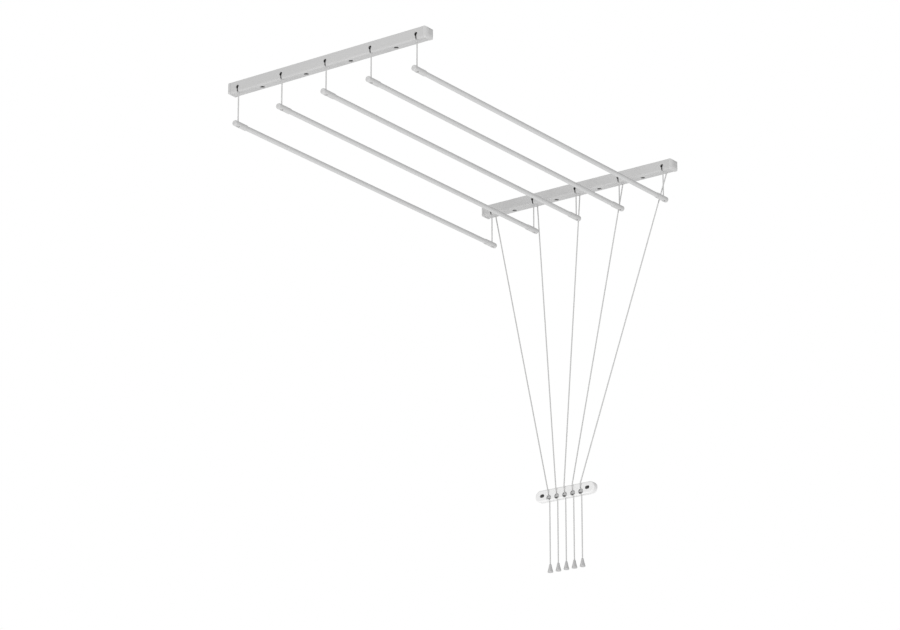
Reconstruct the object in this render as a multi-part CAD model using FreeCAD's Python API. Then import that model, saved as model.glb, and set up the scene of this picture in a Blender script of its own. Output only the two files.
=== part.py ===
import FreeCAD, Part
import math
import os

# Ceiling mounted pulley rack, in millimetres. +Z is up and Z = 0 is the ceiling.
# X runs along the rods, from the far rail (X = 0) to the near rail, beside the wall.
# Y runs along the rails. The origin is the middle of the far rail's ceiling face.

V = FreeCAD.Vector

# Rack
rod_count = 5
pulley_pitch = 120.0        # from one rod to the next
rail_span = 936.0           # between the two rails' middles
rail_overhang = 29.0        # from the outermost pulley to the end of the rail
rest_drops = (80.0, 70.0, 65.0, 67.0, 72.0)   # wheel's axis down to the top of each rod's end cap
past = 1.0                  # a cutter runs this far past what it cuts
near_enough = 0.01          # for finding an edge by its place

# Rails
rail_width = 26.0
rail_height = 25.0
rail_wall = 2.2
rail_low_corner = 5.0
rail_top_corner = 1.0
sharpest_corner = 0.5       # inside the rail
end_cap_flange = 9.0
end_cap_plug = 10.0
end_cap_step = 0.8          # the flange stands this far outside the rail
plug_gap = 0.15
rail_cap_round = 8.0        # round all four outer edges of each end cap
window_r = 4.2
screw_hole_r = 2.3
driver_hole_r = 5.4         # lets the screw's head and the screwdriver through

# Cords
cord_d = 2.8
hole_gap = 0.3              # round a cord in a drilled hole
slot_gap = 0.45             # each side of a cord in its slot
groove_gap = 0.3            # between a cord and its pulley's groove
outlet_bend_r = 20.0        # where a tight cord turns at the near rail's lower face
keyhole_bend_r = 6.0        # and where it turns into the wall bracket

# Pulleys
pulley_width = 6.4
pulley_flare = 0.4          # the groove widens by this much on each side up to the rim
pulley_side_gap = 0.4
pulley_top_gap = 0.4
axle_r = 2.0
axle_head_r = 2.9
axle_head = 0.8
axle_tail = 0.6             # stands out of the other cheek
running_gap = 0.06
spoke_holes = 5
spoke_wall = 0.9            # left inside and outside of each lightening hole
holder_web = 1.2
holder_cheek = 1.8
holder_gap = 0.2
holder_round = 3.0
holder_below_axle = 4.9

# Rods
rod_d = 10.6
rod_wall = 0.8
rod_cap_wall = 1.1
rod_cap_nose = 18.0         # solid part of an end cap
rod_cap_socket = 22.0
rod_cap_round = 3.4
rod_tip_gap = 1.4           # from the tip of a near cap to the pull cord beside it
knot_bulge = 1.9            # a knot stands this far outside its cord
knot_top = 2.6              # from the middle of a knot up to its seat
knot_pocket_gap = 0.4
knot_seat = 0.5             # the pocket's top is this far below the rod's axis

# Wall bracket
wall_gap = 23.0             # from the near rail to the wall
bracket_y = 62.0
bracket_z = -726.0
bracket_length = 162.0
bracket_height = 27.0
bracket_depth = 14.0
bracket_wall = 2.2
bracket_round = 3.0
bracket_back = 2.0          # closes the keyholes off from the wall
bracket_cord_pitch = 22.0
cord_inset = 4.6            # the cords run this far behind the bracket's front face
cord_front_gap = 0.8        # and come down this far in front of it
keyhole_top = 4.5           # from the bracket's top edge down to the keyholes
keyhole_stem = 9.5
keyhole_entry = 0.5         # a cord turns in this far below the top of its keyhole
keyhole_exit = 2.2          # and straight down this far above its stop
ledge_thickness = 5.0       # the cord stops hold up against this ledge
ledge_side = 8.0            # the ledge runs this far past the outermost cords
stop_height = 7.5
stop_top_r = 3.0
stop_low_r = 6.0
stop_skirt = 2.0
stop_gap = 0.05
stop_room = 0.5             # round a stop in its keyhole
bracket_screw_spacing = 124.0
screw_pocket_length = 12.0
screw_pocket_height = 8.0
screw_pocket_wall = 1.6
screw_pocket_floor = 3.0

# Bell pulls
tail_length = 149.0         # from the bracket's underside to the top of a bell
bell_height = 19.0
bell_neck_wall = 0.7
bell_low_r = 6.5
bell_waist = 0.3            # how far the flare curves in
bell_top_round = 0.4
bell_lip = 1.6
bell_lip_wall = 2.0
bell_hollow = 1.0           # the dish in the underside
bell_bore_depth = 9.0

# Worked out from the sizes above
cord_r = cord_d / 2
cavity_half = rail_width / 2 - rail_wall
wheel_r = min((rail_height - 2 * rail_wall - holder_web - 2 * pulley_top_gap) / 2,
              cavity_half - pulley_top_gap)
pitch_r = wheel_r - cord_r
groove_r = cord_r + groove_gap
knot_r = cord_r + knot_bulge
rod_overhang = 2 * pitch_r - cord_r - rod_tip_gap     # from a cord to the tip of its cap
wheel_z = -(rail_wall + holder_web + pulley_top_gap + wheel_r)
cheek_gap = pulley_width + 2 * pulley_side_gap
rail_length = (rod_count - 1) * pulley_pitch + 2 * rail_overhang
slot_width = cord_d + 2 * slot_gap
rod_r = rod_d / 2
rod_cap_r = rod_r + rod_cap_wall
wall_x = rail_span + rail_width / 2 + wall_gap
face_x = wall_x - bracket_depth
cord_x = face_x + cord_inset
bracket_top = bracket_z + bracket_height / 2
bracket_bottom = bracket_z - bracket_height / 2
stem_top = bracket_top - keyhole_top
ledge_z = stem_top - keyhole_stem
stop_bottom = ledge_z - stop_height
bell_top_r = cord_r + bell_neck_wall + bell_top_round
rail_names = ("far", "near")
rail_x = {"far": 0.0, "near": rail_span}


def row_y(i):
    """Rod 1 is the one furthest along +Y."""
    return ((rod_count - 1) / 2 - i) * pulley_pitch


def bracket_cord_y(i):
    return bracket_y + ((rod_count - 1) / 2 - i) * bracket_cord_pitch


def rod_z(i):
    return wheel_z - rest_drops[i] - rod_cap_r


def box(x0, x1, y0, y1, z0, z1):
    return Part.makeBox(x1 - x0, y1 - y0, z1 - z0, V(x0, y0, z0))


def along(axis, radius, length, start):
    return Part.makeCylinder(radius, length, start, axis)


def level_edges(shape, z):
    return [e for e in shape.Edges if abs(e.BoundBox.ZMin - z) + abs(e.BoundBox.ZMax - z) < near_enough]


def upright_edges(shape, x):
    """The edges in the plane square to X there."""
    return [e for e in shape.Edges if abs(e.BoundBox.XMin - x) + abs(e.BoundBox.XMax - x) < near_enough]


def export(name, *solids):
    shape = solids[0] if len(solids) == 1 else Part.makeCompound(list(solids))
    if not shape.isValid():
        print("invalid shape:", name)
    shape.exportStep("parts/" + name + ".step")
    return shape


def rail_outline(grow, y):
    """The rail's cross-section at that Y. It grows outwards all round but never through the ceiling."""
    half = rail_width / 2 + grow
    low = -rail_height - grow
    top = min(0.0, grow)
    big = max(rail_low_corner + grow, sharpest_corner)
    small = rail_top_corner
    corners = [(-half, low, big, 180), (half, low, big, 270), (half, top, small, 0), (-half, top, small, 90)]
    edges, ends = [], []
    for x, z, r, start in corners:
        cx = x + r if x < 0 else x - r
        cz = z + r if z == low else z - r
        turns = [math.radians(start + a) for a in (0, 45, 90)]
        points = [V(cx + r * math.cos(turn), y, cz + r * math.sin(turn)) for turn in turns]
        edges.append(Part.Arc(*points).toShape())
        ends.append((points[0], points[2]))
    for k in range(4):
        edges.append(Part.LineSegment(ends[k][1], ends[(k + 1) % 4][0]).toShape())
    return Part.Wire(Part.__sortEdges__(edges))


def rail_bar(grow, y0, y1):
    return Part.Face(rail_outline(grow, y0)).extrude(V(0, y1 - y0, 0))


def rail_screw_rows():
    """The screws stand midway between the rods."""
    return [(row_y(i) + row_y(i + 1)) / 2 for i in range(rod_count - 1)]


def pull_cord_slot(y):
    """An oval hole in the near rail's lower face, long enough for the pull cord to slant either way."""
    x, half = cord_line("right"), slot_width / 2
    low, high = -rail_height - past, -rail_height + rail_low_corner + past
    hole = box(x - half, x + half, y - half, y + half, low, high)
    ends = [along(V(0, 0, 1), half, high - low, V(x, y + side * half, low)) for side in (-1, 1)]
    return [hole] + ends


def rail(which):
    """A hollow rail: a window and a slot for each pulley, and a screw hole between every two."""
    half = rail_length / 2 - end_cap_flange
    body = rail_bar(0, -half, half).cut(rail_bar(-rail_wall, -half - past, half + past))
    front, middle_z = -rail_width / 2 - past, -rail_height / 2
    slot_half, slot_back = slot_width / 2, cord_line("left") + cord_r + slot_gap
    cuts = []
    for i in range(rod_count):
        y = row_y(i)
        cuts.append(along(V(1, 0, 0), window_r, rail_wall + 2 * past, V(front, y, wheel_z)))
        cuts.append(box(front, slot_back, y - slot_half, y + slot_half, -rail_height - past, wheel_z))
        if which == "near":
            cuts += pull_cord_slot(y)
    for y in rail_screw_rows():
        cuts.append(along(V(0, 0, 1), driver_hole_r, -middle_z + past, V(0, y, -rail_height - past)))
        cuts.append(along(V(0, 0, 1), screw_hole_r, -middle_z + past, V(0, y, middle_z)))
    body = body.cut(Part.makeCompound(cuts))
    body.translate(V(rail_x[which], 0, 0))
    return body


def cord_line(side):
    """Where a cord hangs off its pulley, from the rail's middle."""
    return -pitch_r if side == "left" else pitch_r


def rounding(axis, outer, reach):
    """What to cut away so that the edge along that axis through the outer corner becomes round."""
    r = rail_cap_round
    inner = outer - V(r, r, r) if axis.z else outer + V(-r, -r, r)
    if axis.z:
        corner = box(inner.x, outer.x + past, inner.y, outer.y + past, -reach, past)
        return corner.cut(along(axis, r, reach + 2 * past, V(inner.x, inner.y, -reach - past)))
    corner = box(-reach, reach, inner.y, outer.y + past, outer.z - past, inner.z)
    return corner.cut(along(axis, r, 2 * reach + 2 * past, V(-reach - past, inner.y, inner.z)))


def rail_end_cap(which, side):
    """A stepped cap with a rounded nose, whose plug is pushed into the end of the rail."""
    start, end = rail_length / 2 - end_cap_flange, rail_length / 2
    outer = V(rail_width / 2 + end_cap_step, end, -rail_height - end_cap_step)
    upright = rounding(V(0, 0, 1), outer, 2 * rail_height)
    level = rounding(V(1, 0, 0), outer, rail_width)
    edges = [upright, upright.mirror(V(0, 0, 0), V(1, 0, 0)), level, level.mirror(outer / 2, V(0, 0, 1))]
    flange = rail_bar(end_cap_step, start, end).cut(edges)
    plug = rail_bar(-rail_wall - plug_gap, start - end_cap_plug, start + past)
    cap = flange.fuse(plug).removeSplitter()
    if side < 0:
        cap = cap.mirror(V(0, 0, 0), V(0, 1, 0))
    cap.translate(V(rail_x[which], 0, 0))
    return cap


def holder(which, i):
    """A moulded cradle under the rail's top wall, with a cheek each side of the wheel."""
    y, half = row_y(i), cavity_half - holder_gap
    top = -rail_wall
    width = cheek_gap / 2 + holder_cheek
    body = box(-half, half, y - width, y + width, top - holder_web, top)
    low = wheel_z - holder_below_axle
    for y0 in (y - width, y + cheek_gap / 2):
        body = body.fuse(box(-half, half, y0, y0 + holder_cheek, low, top))
    body = body.removeSplitter()
    for z, r in ((low, holder_round), (top, rail_top_corner)):
        body = body.makeFillet(r, [e for e in level_edges(body, z) if e.BoundBox.XLength < near_enough])
    body = body.cut(along(V(0, 1, 0), axle_r, 2 * width + 2 * past, V(0, y - width - past, wheel_z)))
    body.translate(V(rail_x[which], 0, 0))
    return body


def axle(which, i):
    width = cheek_gap / 2 + holder_cheek
    start = V(rail_x[which], row_y(i) - width, wheel_z)
    pin = along(V(0, 1, 0), axle_r, 2 * width + axle_tail, start)
    head = along(V(0, -1, 0), axle_head_r, axle_head, start)
    return pin.fuse(head).removeSplitter()


def pulley(which, i):
    """A grooved wheel that turns on its axle."""
    half, bore = pulley_width / 2, axle_r + running_gap
    flare = groove_r + pulley_flare
    bottom = pitch_r - groove_r
    points = [V(bore, -half, 0), V(wheel_r, -half, 0), V(wheel_r, -flare, 0), V(pitch_r, -groove_r, 0)]
    mirrored = [V(p.x, -p.y, 0) for p in reversed(points)]
    edges = [Part.LineSegment(a, b).toShape() for a, b in zip(points, points[1:])]
    edges.append(Part.Arc(points[-1], V(bottom, 0, 0), mirrored[0]).toShape())
    edges += [Part.LineSegment(a, b).toShape() for a, b in zip(mirrored, mirrored[1:])]
    edges.append(Part.LineSegment(mirrored[-1], points[0]).toShape())
    wheel = Part.Face(Part.Wire(edges)).revolve(V(0, 0, 0), V(0, 1, 0), 360)
    middle = (bore + bottom) / 2
    hole_r = (bottom - bore) / 2 - spoke_wall
    for k in range(spoke_holes):
        a = 2 * math.pi * k / spoke_holes
        at = V(middle * math.cos(a), -half - past, middle * math.sin(a))
        wheel = wheel.cut(along(V(0, 1, 0), hole_r, pulley_width + 2 * past, at))
    wheel.translate(V(rail_x[which], row_y(i), wheel_z))
    return wheel


def rod_ends():
    """Where the cords meet the rod, and which way is outwards from there."""
    return [(cord_line("left"), -1), (rail_span + cord_line("left"), 1)]


def rod_tube(i):
    left = cord_line("left") - rod_overhang + rod_cap_nose
    right = rail_span + cord_line("left") + rod_overhang - rod_cap_nose
    start = V(left, row_y(i), rod_z(i))
    hollow = along(V(1, 0, 0), rod_r - rod_wall, right - left + 2 * past, start - V(past, 0, 0))
    return along(V(1, 0, 0), rod_r, right - left, start).cut(hollow)


def rod_cap(i, at_x, out):
    """A round-nosed cap over the end of the rod, with a hole for the cord and a pocket for its knot."""
    y, z = row_y(i), rod_z(i)
    tip = at_x + out * rod_overhang
    body = along(V(-out, 0, 0), rod_cap_r, rod_cap_nose + rod_cap_socket, V(tip, y, z))
    body = body.makeFillet(rod_cap_round, upright_edges(body, tip))
    body = body.cut(along(V(-out, 0, 0), rod_r, rod_cap_socket + past, V(tip - out * rod_cap_nose, y, z)))
    body = body.cut(along(V(0, 0, 1), cord_r + hole_gap, 2 * rod_cap_r, V(at_x, y, z - knot_seat)))
    return body.cut(along(V(0, 0, -1), knot_r + knot_pocket_gap, rod_cap_r + past, V(at_x, y, z - knot_seat)))


def cord_knot(i, at_x):
    """The knot that keeps the cord's end under its cap."""
    seat = rod_z(i) - knot_seat
    y = row_y(i)
    ball = Part.makeSphere(knot_r, V(at_x, y, seat - knot_top))
    return ball.cut(box(at_x - knot_r, at_x + knot_r, y - knot_r, y + knot_r, seat, seat + knot_r))


def path_wire(points, radii):
    """Straight runs between the points, joined by tangent arcs of the given radii at the inner points."""
    edges, last = [], points[0]
    length = 0.0
    for before, corner, after, radius in zip(points, points[1:], points[2:], radii):
        a, b = (before - corner).normalize(), (after - corner).normalize()
        turn = math.pi - a.getAngle(b)
        reach = radius * math.tan(turn / 2)
        start, end = corner + a * reach, corner + b * reach
        inward = (a + b).normalize()
        middle = corner + inward * (radius / math.cos(turn / 2) - radius)
        if (start - last).Length > near_enough:
            edges.append(Part.LineSegment(last, start).toShape())
        edges.append(Part.Arc(start, middle, end).toShape())
        length += (start - last).Length + radius * turn
        last = end
    if (points[-1] - last).Length > near_enough:
        edges.append(Part.LineSegment(last, points[-1]).toShape())
    return Part.Wire(edges), length + (points[-1] - last).Length


def cord_tube(name, points, radii=()):
    """A plain round cord along its route, with its volume compared with section times length."""
    wire, length = path_wire(points, radii)
    section = Part.Wire(Part.makeCircle(cord_r, points[0], points[1] - points[0]))
    solid = wire.makePipeShell([section], True, False)
    expected = math.pi * cord_r ** 2 * length
    ratio = solid.Volume / expected
    print("%-14s length %7.1f  radii %s  volume ratio %.4f" % (name, length, list(radii), ratio))
    return solid


def round_pulley(which, i, side):
    """The route's two corners over a quarter of the pulley, from its side up to its top."""
    x, y = rail_x[which], row_y(i)
    near = pitch_r * math.tan(math.pi / 8)
    return [V(x + side * pitch_r, y, wheel_z + near), V(x + side * near, y, wheel_z + pitch_r)]


def hanging_cord_points(which, i):
    """Up from the knot, round the top of the pulley, and on into the rail or to the pull cord."""
    x, y = rail_x[which], row_y(i)
    end = x + (cavity_half if which == "far" else 0)
    foot, top = V(x + cord_line("left"), y, rod_z(i) - knot_seat), V(end, y, wheel_z + pitch_r)
    return [foot] + round_pulley(which, i, -1) + [top]


def pull_cord_points(i):
    """Over the near pulley's other side, down to the bracket, in through its keyhole and down to the stop."""
    yb = bracket_cord_y(i)
    return ([V(rail_span, row_y(i), wheel_z + pitch_r)] + round_pulley("near", i, 1)[::-1]
            + [V(rail_span + cord_line("right"), row_y(i), -rail_height + rail_wall / 2),
               V(face_x - cord_r - cord_front_gap, yb, stem_top - keyhole_entry),
               V(cord_x, yb, ledge_z + keyhole_exit), V(cord_x, yb, stop_bottom)])


def tail_cord_points(i):
    yb = bracket_cord_y(i)
    return [V(cord_x, yb, stop_bottom), V(cord_x, yb, bracket_bottom - tail_length - bell_bore_depth)]


def stadium(length, height, x0, x1, y=bracket_y):
    """A flat bar with round ends, along Y, between two X, at the bracket's height."""
    r = height / 2
    side = length / 2 - r
    bar = box(x0, x1, y - side, y + side, bracket_z - r, bracket_z + r)
    ends = [along(V(1, 0, 0), r, x1 - x0, V(x0, y + s * side, bracket_z)) for s in (-1, 1)]
    return bar.fuse(ends).removeSplitter()


def screw_pockets(grow, x0, x1):
    """The two oval pockets for the bracket's screws, or their walls when grown."""
    return [stadium(screw_pocket_length + 2 * grow, screw_pocket_height + 2 * grow, x0, x1,
                    bracket_y + side * bracket_screw_spacing / 2) for side in (-1, 1)]


def keyhole(y):
    """A narrow stem for the cord, an arch below it for the stop, and the slot through the ledge behind."""
    half, front, back = slot_width / 2, face_x - past, face_x + bracket_wall + past
    arch_r = stop_low_r + stop_room
    arch_z = ledge_z - stop_low_r
    stem = box(front, back, y - half, y + half, arch_z, stem_top - half)
    stem_end = along(V(1, 0, 0), half, back - front, V(front, y, stem_top - half))
    arch = along(V(1, 0, 0), arch_r, back - front, V(front, y, arch_z))
    low = box(front, back, y - arch_r, y + arch_r, stop_bottom - stop_room / 2, arch_z)
    slot = box(front, cord_x, y - half, y + half, ledge_z - past, ledge_z + ledge_thickness + past)
    slot_end = along(V(0, 0, 1), half, ledge_thickness + 2 * past, V(cord_x, y, ledge_z - past))
    return stem.fuse([stem_end, arch, low, slot, slot_end])


def wall_bracket():
    """A shallow shell with keyholes in its face, a ledge behind them, and a hole below for each cord."""
    shell = stadium(bracket_length, bracket_height, face_x, wall_x)
    shell = shell.makeFillet(bracket_round, upright_edges(shell, face_x))
    shell = shell.cut(stadium(bracket_length - 2 * bracket_wall, bracket_height - 2 * bracket_wall,
                              face_x + bracket_wall, wall_x + past))
    ledge_half = (rod_count - 1) / 2 * bracket_cord_pitch + ledge_side
    ledge = box(face_x + bracket_wall / 2, cord_x + stop_low_r, bracket_y - ledge_half,
                bracket_y + ledge_half, ledge_z, ledge_z + ledge_thickness)
    back = box(wall_x - bracket_back, wall_x, bracket_y - ledge_half, bracket_y + ledge_half,
               bracket_bottom + bracket_wall / 2, bracket_top - bracket_wall / 2)
    pockets = screw_pockets(screw_pocket_wall, face_x + bracket_wall / 2, wall_x)
    shell = shell.fuse([ledge, back] + pockets)
    holes = screw_pockets(0, face_x - past, wall_x - screw_pocket_floor)
    for side in (-1, 1):
        y = bracket_y + side * bracket_screw_spacing / 2
        start = V(face_x - past, y, bracket_z)
        holes.append(along(V(1, 0, 0), screw_hole_r, bracket_depth + 2 * past, start))
    for i in range(rod_count):
        y = bracket_cord_y(i)
        holes.append(keyhole(y))
        start = V(cord_x, y, bracket_bottom - past)
        holes.append(along(V(0, 0, 1), slot_width / 2, bracket_wall + 2 * past, start))
    return shell.cut(holes).removeSplitter()


def turned(profile, x, y, z):
    """Revolves a closed outline of (radius, height) points or arcs about the upright line through x, y."""
    solid = Part.Face(Part.Wire(profile)).revolve(V(0, 0, 0), V(0, 0, 1), 360)
    solid.translate(V(x, y, z))
    return solid


def segments(points):
    places = [V(radius, 0, z) for radius, z in points]
    return [Part.LineSegment(a, b).toShape() for a, b in zip(places, places[1:])]


def cord_stop(i):
    """A cone threaded on the cord. The load pulls it up against the bracket's ledge."""
    bore = cord_r + stop_gap
    outline = segments([(bore, -stop_height), (bore, 0), (stop_top_r, 0),
                        (stop_low_r, -stop_height + stop_skirt), (stop_low_r, -stop_height),
                        (bore, -stop_height)])
    return turned(outline, cord_x, bracket_cord_y(i), ledge_z)


def bell_pull(i):
    """A flared bell on the cord's tail, with a bore for the cord in its top and a dished underside."""
    bore, low = cord_r + stop_gap, -bell_height
    neck, flare = V(bell_top_r, 0, -bell_top_round), V(bell_low_r, 0, low + bell_lip)
    waist = (neck + flare) * 0.5 - V(bell_waist, 0, 0)
    dish = bell_low_r - bell_lip_wall - bell_hollow
    outline = segments([(0, low + bell_hollow), (0, -bell_bore_depth), (bore, -bell_bore_depth), (bore, 0),
                        (bell_top_r - bell_top_round, 0), (bell_top_r, -bell_top_round)])
    outline.append(Part.Arc(neck, waist, flare).toShape())
    outline += segments([(bell_low_r, low + bell_lip), (bell_low_r - bell_lip / 4, low),
                         (bell_low_r - bell_lip_wall, low), (dish, low + bell_hollow),
                         (0, low + bell_hollow)])
    return turned(outline, cord_x, bracket_cord_y(i), bracket_bottom - tail_length)


def main():
    os.makedirs("parts", exist_ok=True)
    rods = range(rod_count)
    pull_bends = (pitch_r, pitch_r, outlet_bend_r, keyhole_bend_r, keyhole_bend_r)
    for which in rail_names:
        export(which + "_rail", rail(which))
        export(which + "_rail_end_caps", *[rail_end_cap(which, side) for side in (-1, 1)])
        export(which + "_pulley_holders", *[holder(which, i) for i in rods])
        export(which + "_pulley_axles", *[axle(which, i) for i in rods])
    for i in rods:
        number = "_%d" % (i + 1)
        for which in rail_names:
            export(which + "_pulley" + number, pulley(which, i))
            name = which + "_cord" + number
            export(name, cord_tube(name, hanging_cord_points(which, i), (pitch_r, pitch_r)))
        export("rod" + number, rod_tube(i))
        export("rod_end_caps" + number, *[rod_cap(i, x, out) for x, out in rod_ends()])
        export("rod_knots" + number, *[cord_knot(i, x) for x, out in rod_ends()])
        name = "pull_cord" + number
        export(name, cord_tube(name, pull_cord_points(i), pull_bends))
        name = "tail_cord" + number
        export(name, cord_tube(name, tail_cord_points(i)))
        export("bell_pull" + number, bell_pull(i))
    export("wall_bracket", wall_bracket())
    export("cord_stops", *[cord_stop(i) for i in rods])
    print("wheel axis %.2f, pitch radius %.2f, cord line %.2f" % (wheel_z, pitch_r, cord_line("left")))
    print("rod axes", [round(rod_z(i), 2) for i in rods])
    print("wall %.1f, bracket face %.1f, cords at X %.1f" % (wall_x, face_x, cord_x))
    print("stop %.1f to %.1f, bracket bottom %.1f" % (ledge_z, stop_bottom, bracket_bottom))


main()
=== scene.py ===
import math

import bmesh
import bpy
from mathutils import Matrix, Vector


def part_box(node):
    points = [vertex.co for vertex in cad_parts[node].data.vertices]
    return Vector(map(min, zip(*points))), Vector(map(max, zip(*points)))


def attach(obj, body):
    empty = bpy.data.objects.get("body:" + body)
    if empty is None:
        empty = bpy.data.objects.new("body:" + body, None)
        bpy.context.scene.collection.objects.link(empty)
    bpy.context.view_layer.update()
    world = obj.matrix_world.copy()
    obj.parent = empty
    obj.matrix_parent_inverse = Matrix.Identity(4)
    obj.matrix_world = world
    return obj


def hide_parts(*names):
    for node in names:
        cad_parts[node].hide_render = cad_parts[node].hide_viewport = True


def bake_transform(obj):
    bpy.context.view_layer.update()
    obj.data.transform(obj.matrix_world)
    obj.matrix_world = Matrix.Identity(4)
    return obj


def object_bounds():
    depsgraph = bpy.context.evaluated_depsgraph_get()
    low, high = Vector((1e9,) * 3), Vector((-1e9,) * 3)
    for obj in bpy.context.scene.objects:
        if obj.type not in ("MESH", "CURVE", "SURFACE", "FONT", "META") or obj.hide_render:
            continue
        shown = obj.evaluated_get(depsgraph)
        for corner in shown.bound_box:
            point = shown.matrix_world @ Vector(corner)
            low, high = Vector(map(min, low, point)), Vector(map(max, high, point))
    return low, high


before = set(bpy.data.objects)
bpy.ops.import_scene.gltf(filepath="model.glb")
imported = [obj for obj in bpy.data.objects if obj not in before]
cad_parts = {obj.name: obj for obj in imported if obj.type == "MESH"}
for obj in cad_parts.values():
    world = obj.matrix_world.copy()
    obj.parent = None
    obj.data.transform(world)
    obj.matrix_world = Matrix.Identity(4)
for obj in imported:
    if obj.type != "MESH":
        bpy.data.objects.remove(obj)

# Everything is in metres, in the rack's own frame: +X from the far rail to the wall, +Y along the rails, and
# +Z up to the ceiling.
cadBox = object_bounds()
print("frame loaded,", len(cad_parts), "nodes")

rods = range(1, 6)
rails = ("far", "near")


def middle(node):
    low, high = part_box(node)
    return (low + high) / 2


# ---- camera

cameraView = {"aim": (0.493, 0.043, -0.434), "yaw": 53.7, "pitch": 18.86, "distance": 7.69, "lens": 140.2}


def addCamera(view):
    yaw, pitch = math.radians(view["yaw"]), math.radians(view["pitch"])
    forward = Vector((math.sin(yaw) * math.cos(pitch), math.cos(yaw) * math.cos(pitch), math.sin(pitch)))
    data = bpy.data.cameras.new("camera")
    data.sensor_width, data.lens = 36.0, view["lens"]
    data.clip_start, data.clip_end = 0.1, 500.0
    camera = bpy.data.objects.new("camera", data)
    bpy.context.scene.collection.objects.link(camera)
    camera.location = Vector(view["aim"]) - forward * view["distance"]
    camera.rotation_mode = "QUATERNION"
    camera.rotation_quaternion = forward.to_track_quat("-Z", "Y")
    bpy.context.scene.camera = camera


addCamera(cameraView)
print("camera placed")

# ---- node helpers


class Signal:  # wraps one output socket, so that node maths reads as plain sums
    def __init__(self, graph, socket):
        self.graph, self.socket = graph, socket

    def output(self, index):
        return Signal(self.graph, self.socket.node.outputs[index])

    def math(self, operation, other=0.0):
        return self.graph.node("ShaderNodeMath", {"operation": operation}, {0: self, 1: other})

    def __add__(self, other):
        return self.math("ADD", other)

    def __sub__(self, other):
        return self.math("SUBTRACT", other)

    def __mul__(self, other):
        return self.math("MULTIPLY", other)

    def __rsub__(self, other):
        return self * -1.0 + other

    __radd__ = __add__
    __rmul__ = __mul__


class Graph:  # adds nodes to a shader tree or a geometry tree
    def __init__(self, tree):
        self.tree = tree

    def node(self, kind, settings=None, sockets=None, output=0):
        made = self.tree.nodes.new(kind)
        for key, value in (settings or {}).items():
            if key == "stops":
                for stop, (at, shade) in zip(made.color_ramp.elements, value):
                    stop.position, stop.color = at, (shade, shade, shade, 1)
            else:
                setattr(made, key, value)
        for key, value in (sockets or {}).items():
            self.feed(made.inputs[key], value)
        return Signal(self, made.outputs[output]) if made.outputs else made

    def feed(self, socket, value):
        if isinstance(value, Signal):
            self.tree.links.new(value.socket, socket)
        else:
            socket.default_value = value


class Paint(Graph):  # one material, with its Principled shader
    def __init__(self, name):
        self.material = bpy.data.materials.new(name)
        self.material.use_nodes = True
        super().__init__(self.material.node_tree)
        self.shader = self.tree.nodes["Principled BSDF"]

    def here(self, stretch=(1, 1, 1)):
        place = self.node("ShaderNodeTexCoord").output(3)
        return self.node("ShaderNodeMapping", {}, {"Vector": place, "Scale": stretch})

    def noise(self, place, scale, detail=3.0, roughness=0.5):
        return self.node("ShaderNodeTexNoise", {}, {"Vector": place, "Scale": scale, "Detail": detail,
                                                    "Roughness": roughness})

    def ramp(self, amount, *stops):
        return self.node("ShaderNodeValToRGB", {"stops": stops}, {0: amount})

    def fade(self, amount, start, end):  # 0 at the start, 1 at the end
        return self.node("ShaderNodeMapRange", {"interpolation_type": "SMOOTHSTEP"},
                         {"Value": amount, "From Min": start, "From Max": end})

    def shades(self, amount, dark, light):  # a colour between two others
        sockets = {0: amount, 6: (*dark, 1), 7: (*light, 1)}
        return self.node("ShaderNodeMix", {"data_type": "RGBA"}, sockets, output=2)

    def bump(self, height, distance, strength=1.0, before=None):
        sockets = {"Height": height, "Distance": distance, "Strength": strength}
        if before:
            sockets["Normal"] = before
        return self.node("ShaderNodeBump", {}, sockets)

    def finish(self, **sockets):
        for key, value in sockets.items():
            self.feed(self.shader.inputs[key.replace("_", " ")], value)
        return self.material


def grey(value, warmth=0.0):
    return (value * (1 + warmth), value, value * (1 - warmth))


# ---- materials

plasticWarmth = 0.004
railFinish = {"dark": 0.46, "light": 0.52, "roughness": 0.45, "lines": (260, 1.5, 260), "lineDepth": 0.00002,
              "clouds": (9, 3, 9), "grain": 1400.0, "grainDepth": 0.00001, "unevenness": 0.18}


def extrudedPlastic(look):  # drawn lines run along the rail
    paint = Paint("extrudedPlastic")
    lines = paint.noise(paint.here(look["lines"]), 1.0, 4.0, 0.6)
    clouds = paint.noise(paint.here(look["clouds"]), 1.0, 2.0)
    grain = paint.noise(paint.here(), look["grain"], 2.0)
    mixed = lines * 0.45 + clouds * 0.55
    colour = paint.shades(mixed, grey(look["dark"]), grey(look["light"], plasticWarmth))
    bumps = paint.bump(grain, look["grainDepth"], 0.5, paint.bump(lines, look["lineDepth"], 0.6))
    rough = look["roughness"] + (lines - 0.5) * look["unevenness"]
    return paint.finish(Base_Color=colour, Roughness=rough, Normal=bumps)


mould = {"grain": 1800.0, "flow": (40, 40, 15)}


def mouldedSurface(paint, look):  # fine grain from the mould, with flow marks
    grain = paint.noise(paint.here(), mould["grain"], 3.0, 0.65)
    flow = paint.noise(paint.here(mould["flow"]), 1.0, 3.0)
    plastic = paint.shades(flow * 0.7 + grain * 0.3, grey(look["dark"]), grey(look["light"], plasticWarmth))
    return grain, flow, plastic


def mouldedPlastic(name, look):
    paint = Paint(name)
    grain, flow, colour = mouldedSurface(paint, look)
    rough = look["roughness"] + (grain - 0.5) * 0.15 + (flow - 0.5) * 0.1
    return paint.finish(Base_Color=colour, Roughness=rough, Normal=paint.bump(grain, look["grainDepth"], 0.7))


rodFinish = {"dark": 0.515, "light": 0.575, "roughness": 0.32, "peel": (250, 600, 600), "orangePeel": 0.00001,
             "drift": (6, 80, 80), "rubs": (700, 60, 60), "rubbed": 0.3}


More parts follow.
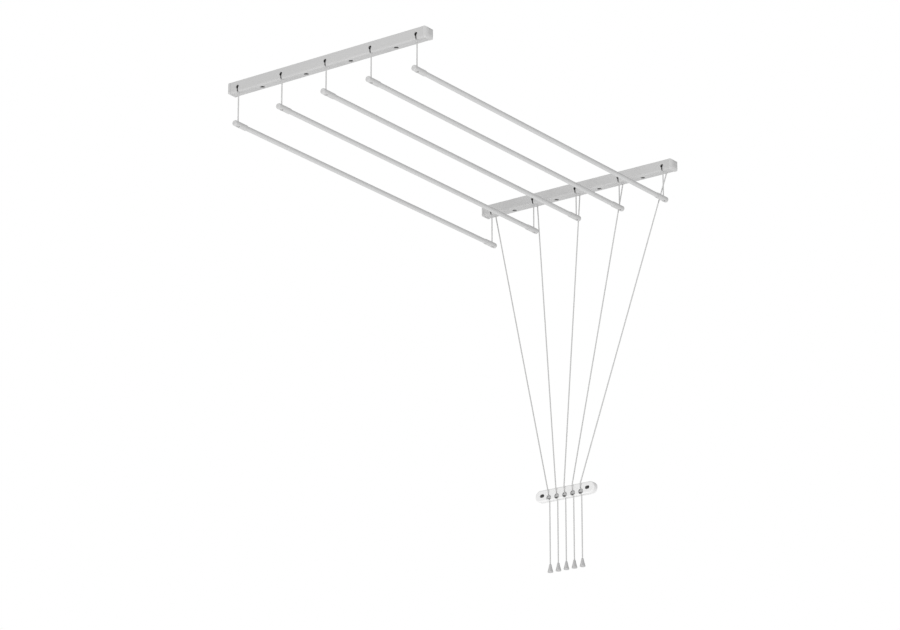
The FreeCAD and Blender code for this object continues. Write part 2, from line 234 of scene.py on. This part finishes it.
def rodEnamel(look):  # powder coat, a little rubbed by hangers
    paint = Paint("rodEnamel")
    peel = paint.noise(paint.here(look["peel"]), 1.0, 2.0)
    drift = paint.noise(paint.here(look["drift"]), 1.0, 3.0)
    rubbed = paint.ramp(paint.noise(paint.here(look["rubs"]), 1.0, 4.0, 0.7), (0.58, 0.0), (0.75, 1.0))
    colour = paint.shades(drift - rubbed * look["rubbed"], grey(look["dark"]), grey(look["light"]))
    rough = look["roughness"] + (drift - 0.5) * 0.1 + rubbed * 0.12
    return paint.finish(Base_Color=colour, Roughness=rough, Normal=paint.bump(peel, look["orangePeel"], 0.5))


steelFinish = {"dark": 0.42, "light": 0.55, "roughness": 0.3, "rings": (500, 3000, 500), "ringDepth": 0.00002}


def turnedSteel(look):
    paint = Paint("turnedSteel")
    rings = paint.noise(paint.here(look["rings"]), 1.0, 2.0)
    colour = paint.shades(rings, grey(look["dark"]), grey(look["light"]))
    return paint.finish(Metallic=1.0, Base_Color=colour, Roughness=look["roughness"] + rings * 0.15,
                        Normal=paint.bump(rings, look["ringDepth"], 0.5))


braidFinish = {"dark": 0.40, "light": 0.62, "strands": 8, "depth": 0.00012, "fuzz": 3000.0, "roughness": 0.75,
               "flat": 0.6}


def braidedCord(look):  # strands wind round both ways, and pass over and under each other
    paint = Paint("braidedCord")
    turn = paint.node("ShaderNodeSeparateXYZ", {}, {0: paint.node("ShaderNodeUVMap", {"uv_map": "braid"})})
    along = turn.output(1)
    half = math.pi * look["strands"]
    leftWave = ((turn + along) * half).math("SINE")
    rightWave = ((turn - along) * half).math("SINE")
    leftOver = (leftWave * rightWave).math("GREATER_THAN", 0.0)
    left, right = leftWave.math("ABSOLUTE"), rightWave.math("ABSOLUTE")
    flat = look["flat"]
    leftOnTop = leftOver * left * (right * (1 - flat) + flat)
    rightOnTop = (1 - leftOver) * right * (left * (1 - flat) + flat)
    weave = leftOnTop + rightOnTop
    fuzz = paint.noise(paint.here(), look["fuzz"], 2.0)
    # painted shade: the colour is darker in the grooves where one strand dips under another; the fuzz speckle
    # is the cord's own tone
    colour = paint.shades(weave * 0.85 + fuzz * 0.15, grey(look["dark"]), grey(look["light"], 0.006))
    bumps = paint.bump(fuzz, look["depth"] / 5, 0.4, paint.bump(weave, look["depth"], 0.8))
    return paint.finish(Base_Color=colour, Roughness=look["roughness"] + fuzz * 0.15, Normal=bumps)


# the darkest grey below is painted shade for the inside of the two screw pockets
bracketFinish = {"dark": 0.72, "light": 0.78, "roughness": 0.35, "grainDepth": 0.00001, "recessPaintedShade": 0.17,
                 "screwSpacing": 0.124, "pocketLength": 0.012, "pocketHeight": 0.008, "lip": 0.0011,
                 "pocketDepth": 0.0115}


def bracketPlastic(look):  # as moulded, with painted shade darkening the inside of its two screw recesses
    low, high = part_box("wall_bracket")
    centre, front = (low + high) / 2, low.x
    paint = Paint("bracketPlastic")
    grain, flow, plastic = mouldedSurface(paint, look)
    place = paint.node("ShaderNodeSeparateXYZ", {}, {0: paint.node("ShaderNodeTexCoord").output(3)})
    side = ((place.output(1) - centre.y).math("ABSOLUTE") - look["screwSpacing"] / 2)
    level = place.output(2) - centre.z
    radius = look["pocketHeight"] / 2
    beyond = (side.math("ABSOLUTE") - (look["pocketLength"] / 2 - radius)).math("MAXIMUM", 0.0)
    distance = (beyond * beyond + level * level).math("SQRT")
    lip, floor = front + look["lip"], front + look["pocketDepth"]
    deep = paint.fade(place, lip - look["lip"] / 2, lip) * (1 - paint.fade(place, floor, floor + look["lip"]))
    inside = (1 - paint.fade(distance, radius * 1.02, radius * 1.08)) * deep
    # painted shade: the walls and floor inside each screw pocket are coloured dark
    colour = paint.node("ShaderNodeMix", {"data_type": "RGBA"},
                        {0: inside, 6: plastic, 7: (*grey(look["recessPaintedShade"]), 1)}, output=2)
    rough = look["roughness"] + (grain - 0.5) * 0.15 + inside * 0.3
    return paint.finish(Base_Color=colour, Roughness=rough, Normal=paint.bump(grain, look["grainDepth"], 0.7))


capFinish = {"dark": 0.50, "light": 0.56, "roughness": 0.4, "grainDepth": 0.00001}
bellFinish = {"dark": 0.41, "light": 0.50, "roughness": 0.32, "grainDepth": 0.00001}
nylonFinish = {"dark": 0.012, "light": 0.02, "roughness": 0.5, "grainDepth": 0.00001}
finishes = {
    "rail": extrudedPlastic(railFinish),
    "cap": mouldedPlastic("capPlastic", capFinish),
    "rod": rodEnamel(rodFinish),
    "bracket": bracketPlastic(bracketFinish),
    "bell": mouldedPlastic("bellPlastic", bellFinish),
    "nylon": mouldedPlastic("blackNylon", nylonFinish),
    "steel": turnedSteel(steelFinish),
    "braid": braidedCord(braidFinish),
}
nodeFinishes = {
    "rail": "rail", "rail_end_caps": "cap",
    "pulley_holders": "nylon", "pulley_axles": "steel", "pulley": "nylon",
    "rod": "rod", "rod_end_caps": "cap", "bell_pull": "bell", "wall_bracket": "bracket", "cord_stops": "bell",
}
for nodeName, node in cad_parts.items():
    kind = nodeName.rstrip("_12345").removeprefix("far_").removeprefix("near_")
    if kind in nodeFinishes:
        for holder in node.material_slots:
            holder.material = finishes[nodeFinishes[kind]]
print("materials made")

# ---- cords

# a strand of the braid goes once round the cord in two girths of length
cordSize = {"diameter": 0.0028, "sides": 16, "resolution": 12, "strandLay": 2.0}
cordRadius = cordSize["diameter"] / 2


def centreline(name, points):  # the smooth line that the route's points give
    data = bpy.data.curves.new(name, "CURVE")
    data.dimensions, data.resolution_u = "3D", cordSize["resolution"]
    spline = data.splines.new("NURBS")
    spline.points.add(len(points) - 1)
    for point, place in zip(spline.points, points):
        point.co = (*place, 1.0)
    spline.order_u = 3
    spline.use_endpoint_u = True
    guide = bpy.data.objects.new(name + "Guide", data)
    bpy.context.scene.collection.objects.link(guide)
    line = bpy.data.meshes.new_from_object(guide.evaluated_get(bpy.context.evaluated_depsgraph_get()))
    path = [v.co.copy() for v in line.vertices]
    bpy.data.objects.remove(guide)
    bpy.data.meshes.remove(line)
    return path


def tube(name, path):
    sides, made = cordSize["sides"], bmesh.new()
    uv = made.loops.layers.uv.new("braid")
    girth = 2 * math.pi * cordRadius
    distances, rings, across = [0.0], [], Vector((0, 1, 0))
    for a, b in zip(path, path[1:]):
        distances.append(distances[-1] + (b - a).length)
    for k, place in enumerate(path):
        ahead = (path[min(k + 1, len(path) - 1)] - path[max(k - 1, 0)]).normalized()
        across = (across - ahead * across.dot(ahead)).normalized()
        third = ahead.cross(across)
        angles = [2 * math.pi * s / sides for s in range(sides)]
        rings.append([made.verts.new(place + (across * math.cos(t) + third * math.sin(t)) * cordRadius)
                      for t in angles])
    for k in range(len(path) - 1):
        for s in range(sides):
            corners = ((k, s), (k, s + 1), (k + 1, s + 1), (k + 1, s))
            face = made.faces.new([rings[i][j % sides] for i, j in corners])
            face.smooth = True
            for loop, (i, j) in zip(face.loops, corners):
                loop[uv].uv = (j / sides, distances[i] / girth / cordSize["strandLay"])
    made.faces.new(rings[0][::-1])
    made.faces.new(rings[-1])
    mesh = bpy.data.meshes.new(name)
    made.to_mesh(mesh)
    made.free()
    mesh.materials.append(finishes["braid"])
    return mesh


def addCord(name, node, points):
    path = centreline(name, points)
    cord = bpy.data.objects.new(name, tube(name, path))
    bpy.context.scene.collection.objects.link(cord)
    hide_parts(node)
    return cord, path


def declareCord(path):
    length = sum((b - a).length for a, b in zip(path, path[1:]))


def pulleyOf(rail, i):  # its middle, and how far from it the cord's own middle runs
    low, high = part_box(f"{rail}_pulley_{i}")
    return (low + high) / 2, (high.x - low.x) / 2 - cordRadius


def quarterTurn(centre, radius, side):  # from below the pulley's side, up and over to its top
    near = radius * math.tan(math.pi / 8)
    return [centre + Vector((side * radius, 0, -near)), centre + Vector((side * radius, 0, near)),
            centre + Vector((side * near, 0, radius))]


def addHangingCord(rail, i):
    centre, radius = pulleyOf(rail, i)
    name = f"{rail}_cord_{i}"
    low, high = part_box(name)
    foot = Vector((centre.x - radius, centre.y, low.z))
    turn = quarterTurn(centre, radius, -1)
    top = [Vector((centre.x, centre.y, centre.z + radius))]
    if rail == "far":  # on to the far wall of the rail
        top = [Vector((2 * centre.x - turn[-1].x, centre.y, top[0].z)), Vector((high.x, centre.y, top[0].z))]
    cord, path = addCord(f"{rail}Cord{i}", name, [foot, *turn, *top])
    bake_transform(cord)
    declareCord(path)


bracketLies = {"front": 0.0008, "depth": 0.014, "stemTop": 0.0045, "entry": 0.0005, "exit": 0.0022,
               "railFloor": 0.0011}


def addPullCord(i):
    centre, radius = pulleyOf("near", i)
    bracket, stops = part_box("wall_bracket"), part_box("cord_stops")
    tail, lies = middle(f"tail_cord_{i}"), bracketLies
    top = centre + Vector((0, 0, radius))
    outlet = Vector((centre.x + radius, centre.y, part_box("near_rail")[0].z + lies["railFloor"]))
    entry = Vector((bracket[1].x - lies["depth"] - cordRadius - lies["front"], tail.y,
                    bracket[1].z - lies["stemTop"] - lies["entry"]))
    inside = Vector((tail.x, tail.y, stops[1].z + lies["exit"]))
    end = Vector((tail.x, tail.y, stops[0].z))
    turn = quarterTurn(centre, radius, 1)[:0:-1]  # from the top down, and off before the turn's first point
    leaving = outlet + (entry - outlet).normalized() * (turn[1] - outlet).length
    arriving = entry + (outlet - entry).normalized() * (inside - entry).length
    cord, path = addCord(f"pullCord{i}", f"pull_cord_{i}",
                         [top, *turn, outlet, leaving, arriving, entry, inside, end])
    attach(cord, "root")
    declareCord(path)


def addTailCord(i):
    low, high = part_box(f"tail_cord_{i}")
    place = (low + high) / 2
    top, foot = Vector((place.x, place.y, high.z)), Vector((place.x, place.y, low.z))
    bell = Vector((place.x, place.y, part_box(f"bell_pull_{i}")[1].z))
    cord, path = addCord(f"tailCord{i}", f"tail_cord_{i}", [top, (top + bell) / 2, foot])
    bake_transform(cord)
    declareCord(path)


for i in rods:
    for rail in rails:
        addHangingCord(rail, i)
    addPullCord(i)
    addTailCord(i)
print("cords laid")

# ---- knots under the rods' end caps

# the knot is a trefoil curve, which reaches three loop sizes from its middle
knotLook = {"girth": 0.00125, "points": 72, "sides": 12, "reach": 3, "thickness": 1.2, "braidTurns": 3}


def knotTree(look):  # one overhand knot, copied to both ends of a rod
    tree = bpy.data.node_groups.new("overhandKnots", "GeometryNodeTree")
    sockets = {}
    tree.interface.new_socket("Geometry", in_out="OUTPUT", socket_type="NodeSocketGeometry")
    for label in ("loopSize", "cordGirth", "endDistance"):
        made = tree.interface.new_socket(label, in_out="INPUT", socket_type="NodeSocketFloat")
        sockets[label] = made.identifier
    first = tree.interface.new_socket("firstKnot", in_out="INPUT", socket_type="NodeSocketVector")
    sockets["firstKnot"] = first.identifier
    graph = Graph(tree)
    given = graph.node("NodeGroupInput")
    loopSize, cordGirth, endDistance, firstKnot = [given.output(k) for k in range(4)]
    ring = graph.node("GeometryNodeCurvePrimitiveCircle", {"mode": "RADIUS"}, {"Resolution": look["points"]})
    t = graph.node("GeometryNodeInputIndex") * (2 * math.pi / look["points"])
    x = (t.math("SINE") + (t * 2).math("SINE") * 2) * loopSize
    y = (t.math("COSINE") - (t * 2).math("COSINE") * 2) * loopSize
    z = (t * 3).math("SINE") * loopSize * -look["thickness"]
    place = graph.node("ShaderNodeCombineXYZ", {}, {0: x, 1: z, 2: y})
    line = graph.node("GeometryNodeSetPosition", {}, {"Geometry": ring, "Position": place})
    line = graph.node("GeometryNodeStoreNamedAttribute", {"data_type": "FLOAT", "domain": "POINT"},
                      {"Geometry": line, "Name": "along", "Value": t * (look["braidTurns"] / (2 * math.pi))})
    profile = graph.node("GeometryNodeCurvePrimitiveCircle", {"mode": "RADIUS"},
                         {"Resolution": look["sides"], "Radius": cordGirth})
    turn = graph.node("GeometryNodeInputIndex") * (1 / look["sides"])
    profile = graph.node("GeometryNodeStoreNamedAttribute", {"data_type": "FLOAT", "domain": "POINT"},
                         {"Geometry": profile, "Name": "turn", "Value": turn})
    knot = graph.node("GeometryNodeCurveToMesh", {}, {"Curve": line, "Profile Curve": profile})
    stored = [graph.node("GeometryNodeInputNamedAttribute", {"data_type": "FLOAT"}, {"Name": name})
              for name in ("turn", "along")]
    braid = graph.node("ShaderNodeCombineXYZ", {}, {0: stored[0], 1: stored[1]})
    knot = graph.node("GeometryNodeStoreNamedAttribute", {"data_type": "FLOAT2", "domain": "CORNER"},
                      {"Geometry": knot, "Name": "braid", "Value": braid})
    step = graph.node("ShaderNodeCombineXYZ", {}, {0: endDistance})
    ends = graph.node("GeometryNodeMeshLine", {}, {"Count": 2, "Start Location": firstKnot, "Offset": step})
    copies = graph.node("GeometryNodeInstanceOnPoints", {}, {"Points": ends, "Instance": knot})
    whole = graph.node("GeometryNodeRealizeInstances", {}, {"Geometry": copies})
    smooth = graph.node("GeometryNodeSetShadeSmooth", {}, {"Geometry": whole})
    painted = graph.node("GeometryNodeSetMaterial", {}, {"Geometry": smooth, "Material": finishes["braid"]})
    graph.node("NodeGroupOutput", {}, {0: painted})
    return tree, sockets


def grown(name, tree, sockets, values):  # runs a tree, and keeps what it makes as a plain mesh
    seed = bpy.data.objects.new(name + "Seed", bpy.data.meshes.new(name + "Seed"))
    bpy.context.scene.collection.objects.link(seed)
    modifier = seed.modifiers.new("grow", "NODES")
    modifier.node_group = tree
    for label, value in values.items():
        modifier[sockets[label]] = value
    mesh = bpy.data.meshes.new_from_object(seed.evaluated_get(bpy.context.evaluated_depsgraph_get()))
    seed.modifiers.remove(modifier)
    bpy.data.objects.remove(seed)
    piece = bpy.data.objects.new(name, mesh)
    mesh.name = name
    bpy.context.scene.collection.objects.link(piece)
    return piece


def addKnots():
    tree, sockets = knotTree(knotLook)
    for i in rods:
        low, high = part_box(f"rod_knots_{i}")
        radius = (high.y - low.y) / 2
        loopSize = (radius - knotLook["girth"]) / knotLook["reach"]
        values = {"loopSize": loopSize, "cordGirth": knotLook["girth"],
                  "endDistance": high.x - low.x - 2 * radius,
                  "firstKnot": (low.x + radius, (low.y + high.y) / 2, low.z + radius)}
        knots = grown(f"knots{i}", tree, sockets, values)
        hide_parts(f"rod_knots_{i}")
        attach(knots, f"rod_body_{i}")


addKnots()
print("knots tied")

# ---- floor and lights

studio = {"floorDepth": -9.0, "floorHalf": 60.0, "floorShade": 0.86, "floorGlow": 0.5, "backdrop": 1.0,
          "skyLight": 0.45}
lamps = {  # where each stands from the rack's middle, its size and its power
    "front": {"from": (-7.4, -6.6, -1.7), "size": 2.2, "power": 380.0},
    "high": {"from": (-3.4, 1.6, 3.6), "size": 2.0, "power": 60.0},
    "low": {"from": (-1.3, 2.2, -3.2), "size": 1.2, "power": 30.0},
}


def addFloor(look):
    half, depth = look["floorHalf"], look["floorDepth"]
    mesh = bpy.data.meshes.new("floor")
    corners = [(-half, -half, depth), (half, -half, depth), (half, half, depth), (-half, half, depth)]
    mesh.from_pydata(corners, [], [(0, 1, 2, 3)])
    floor = bpy.data.objects.new("floor", mesh)
    bpy.context.scene.collection.objects.link(floor)
    paint = Paint("paleFloor")
    mesh.materials.append(paint.finish(Base_Color=(*grey(look["floorShade"]), 1), Roughness=0.9,
                                       Emission_Color=(1, 1, 1, 1), Emission_Strength=look["floorGlow"]))


def addLamp(name, lamp, target):
    data = bpy.data.lights.new(name, "AREA")
    data.size, data.energy = lamp["size"], lamp["power"]
    shade = bpy.data.objects.new(name, data)
    bpy.context.scene.collection.objects.link(shade)
    shade.location = target + Vector(lamp["from"])
    shade.rotation_mode = "QUATERNION"
    shade.rotation_quaternion = (target - shade.location).to_track_quat("-Z", "Y")


addFloor(studio)
rackMiddle = (cadBox[0] + cadBox[1]) / 2
for name, lamp in lamps.items():
    addLamp(name, lamp, rackMiddle)
sky = bpy.data.worlds.new("sky")
bpy.context.scene.world = sky
sky.use_nodes = True
air = Graph(sky.node_tree)
plain = sky.node_tree.nodes["Background"]
plain.inputs["Color"].default_value = (1, 1, 1, 1)
seen = air.node("ShaderNodeLightPath")  # a bright backdrop, which lights the rack less than it looks
air.feed(plain.inputs["Strength"], seen * (studio["backdrop"] - studio["skyLight"]) + studio["skyLight"])
bpy.context.scene.view_settings.view_transform = "Standard"
print("floor and lights ready")
